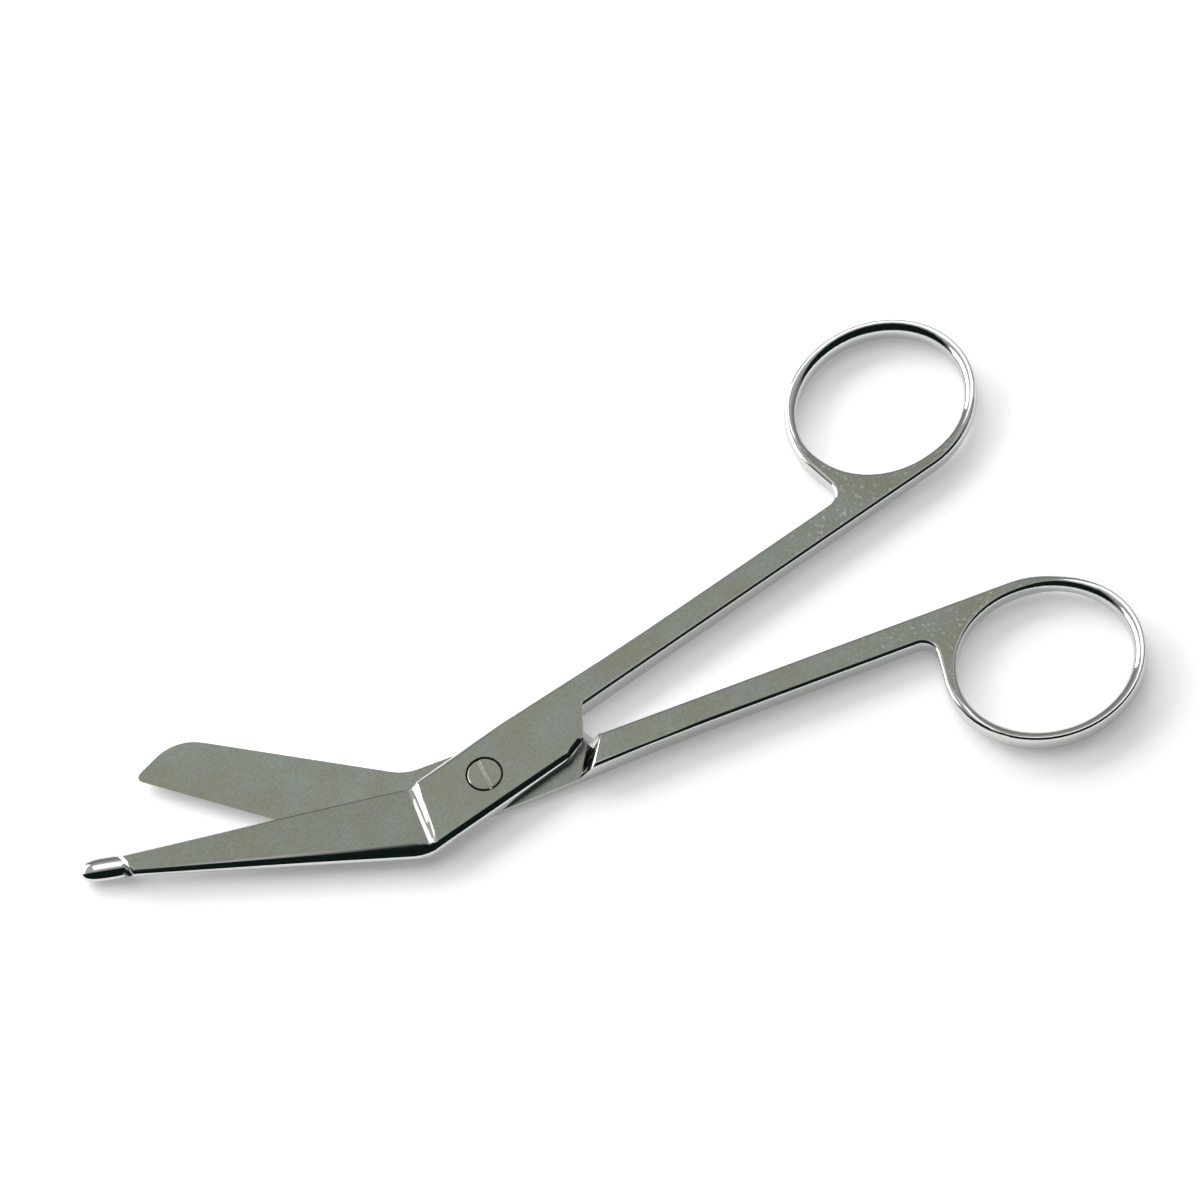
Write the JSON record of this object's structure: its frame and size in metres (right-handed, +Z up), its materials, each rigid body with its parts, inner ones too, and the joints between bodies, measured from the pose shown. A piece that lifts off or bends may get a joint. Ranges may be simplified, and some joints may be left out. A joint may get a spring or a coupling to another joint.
{
  "type": "bandage scissors",
  "caption": "Angled bandage scissors lying a little open, with a blunt probe on the lower blade, finger rings and a slotted pivot screw.",
  "frame": {"origin": "on the pivot axis, in the plane that the scissors rest on", "axes": "+X runs from the pivot between the two shanks, halving the angle between them, towards the finger rings; +Z points up, out of the face with the screw's slot; +Y completes a right-handed frame"},
  "size_m": [0.1831, 0.0906, 0.0049],
  "materials": {
    "probe_half_steel": "satin-ground flats with polished rounded edges",
    "blunt_half_steel": "satin-ground flats with polished rounded edges",
    "screw_steel": "filed flush and satin-ground with the joint"
  },
  "bodies": {
    "lower": {"blunt_half": "blunt_half_steel", "pivot_screw": "screw_steel"},
    "upper": {"probe_half": "probe_half_steel"}
  },
  "joints": [
    {"name": "pivot", "type": "hinge", "parent": "lower", "child": "upper", "pos_m": [0, 0, 0], "axis": [0, 0, 1], "range_deg": [-15.4, 112]}
  ]
}
